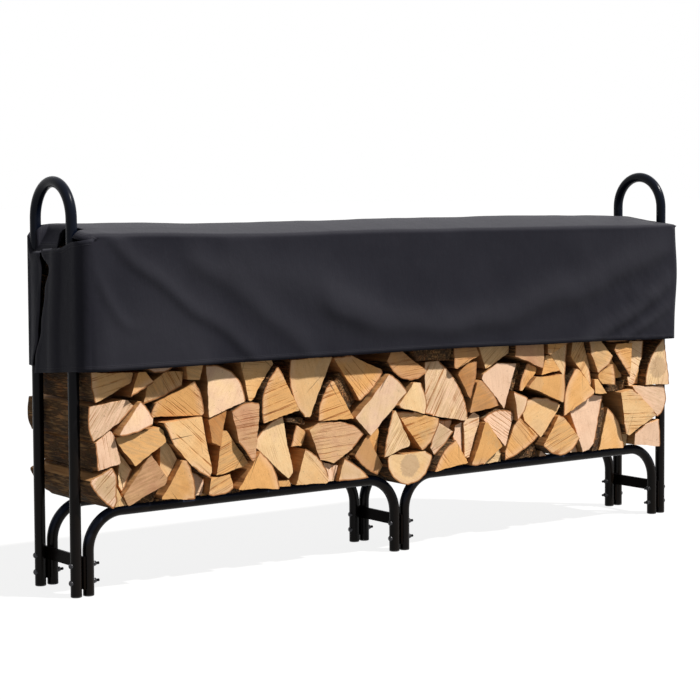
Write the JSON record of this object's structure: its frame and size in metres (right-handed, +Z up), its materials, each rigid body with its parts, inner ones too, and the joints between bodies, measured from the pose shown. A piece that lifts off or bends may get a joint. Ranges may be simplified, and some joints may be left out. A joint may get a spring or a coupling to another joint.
{
  "type": "log store",
  "caption": "Long tube-framed log store with arched ends and low legs, stacked with split logs whose sawn ends face out, under a fitted fabric cover hanging over the upper half.",
  "frame": {"origin": "on the ground under the middle of the store", "axes": "X along the store from its left end to its right end as seen from the front, Y from front to back, Z up"},
  "size_m": [2.4046, 0.3967, 1.212],
  "materials": {
    "frame_tube": "black powder coat, half gloss",
    "foot_cap": "matt",
    "brace": "black powder coat, half gloss",
    "log": "sawn ends, split sides and bark",
    "cover_cloth": "coated woven cloth, charcoal"
  },
  "bodies": {
    "root": {"left_hoop": "frame_tube", "right_hoop": "frame_tube", "front_left_rail": "frame_tube", "front_right_rail": "frame_tube", "back_left_rail": "frame_tube", "back_right_rail": "frame_tube", "hoop_foot_caps": "foot_cap", "rail_foot_caps": "foot_cap", "left_cross_brace": "brace", "middle_cross_brace": "brace", "right_cross_brace": "brace", "logs_left_end": "log", "logs_left_bay": "log", "logs_middle": "log", "logs_right_bay": "log", "logs_right_end": "log", "logs_packing": "log", "logs_hidden_lower": "log", "logs_hidden_middle": "log", "logs_hidden_top": "log", "cover_body": "cover_cloth", "front_left_flap": "cover_cloth", "back_left_flap": "cover_cloth", "front_right_flap": "cover_cloth", "back_right_flap": "cover_cloth"}
  },
  "joints": []
}
